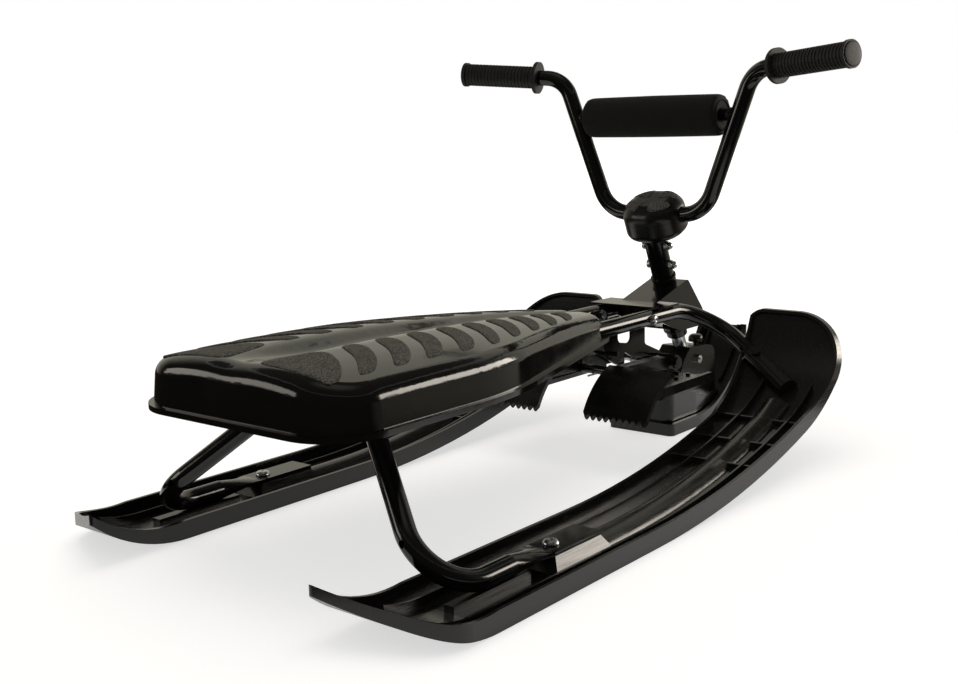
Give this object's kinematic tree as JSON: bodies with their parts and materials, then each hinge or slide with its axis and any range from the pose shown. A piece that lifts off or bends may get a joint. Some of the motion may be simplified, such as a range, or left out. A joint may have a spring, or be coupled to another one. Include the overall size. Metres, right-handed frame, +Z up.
{
  "type": "steering sled",
  "caption": "Ride-on snow sled with a padded handlebar that turns a front ski, a moulded seat on a bent tube frame, upturned side skis and sprung foot brakes with toothed claws.",
  "frame": {"origin": "on the ground under the middle of the sled's overall length and width", "axes": "+X to the rider's right, +Y forward towards the steering ski's tip, +Z up"},
  "size_m": [0.6156, 1.052, 0.5302],
  "materials": {
    "ski_plastic": "black moulded plastic with a satin gloss",
    "seat_plastic": "black moulded plastic, glossy",
    "frame_paint": "black gloss powder coat on steel tube",
    "trim_plastic": "black plastic, semi-matt",
    "grip_rubber": "black ribbed rubber",
    "pad_fabric": "black woven cover over foam",
    "zinc_steel": "zinc-plated steel"
  },
  "bodies": {
    "sled": {"left_ski": "ski_plastic", "right_ski": "ski_plastic", "left_frame_tube": "frame_paint", "right_frame_tube": "frame_paint", "ski_screws": "zinc_steel", "tip_bolts": "frame_paint", "seat_shell": "seat_plastic", "front_seat_strap": "frame_paint", "rear_seat_strap": "frame_paint", "seat_screws": "zinc_steel", "head_bracket": "frame_paint", "head_tube": "frame_paint", "upper_head_bush": "trim_plastic", "lower_head_bush": "trim_plastic", "brake_hanger": "frame_paint", "hanger_bolts": "zinc_steel", "hanger_nuts": "zinc_steel", "brake_shaft": "zinc_steel", "shaft_caps": "trim_plastic"},
    "steering": {"steering_shaft": "zinc_steel", "shaft_collar": "frame_paint", "stem_tube": "frame_paint", "stem_bolts": "zinc_steel", "stem_nuts": "zinc_steel", "handlebar": "frame_paint", "crossbar": "frame_paint", "bar_pad": "pad_fabric", "left_grip": "grip_rubber", "right_grip": "grip_rubber", "clamp_block": "trim_plastic", "clamp_cap": "trim_plastic", "clamp_bolts": "zinc_steel", "console_base": "trim_plastic", "console_cover": "trim_plastic", "steering_ski": "ski_plastic", "ski_saddle": "ski_plastic", "saddle_cross_bolt": "zinc_steel", "saddle_cross_nut": "zinc_steel", "ski_bolt": "trim_plastic"},
    "brake": {"left_brake_pedal": "trim_plastic", "right_brake_pedal": "trim_plastic", "pedal_link": "frame_paint", "return_spring": "zinc_steel"}
  },
  "joints": [
    {"name": "steering_turn", "type": "hinge", "parent": "sled", "child": "steering", "pos_m": [0, 0.427, 0], "axis": [0, -0.4067, 0.9135], "range_deg": [-30, 30]},
    {"name": "brake_press", "type": "hinge", "parent": "sled", "child": "brake", "pos_m": [0, 0.262, 0.108], "axis": [1, 0, 0], "range_deg": [0, 20], "stiffness_Nm_per_rad": 1.5, "springref_deg": -34.38}
  ]
}
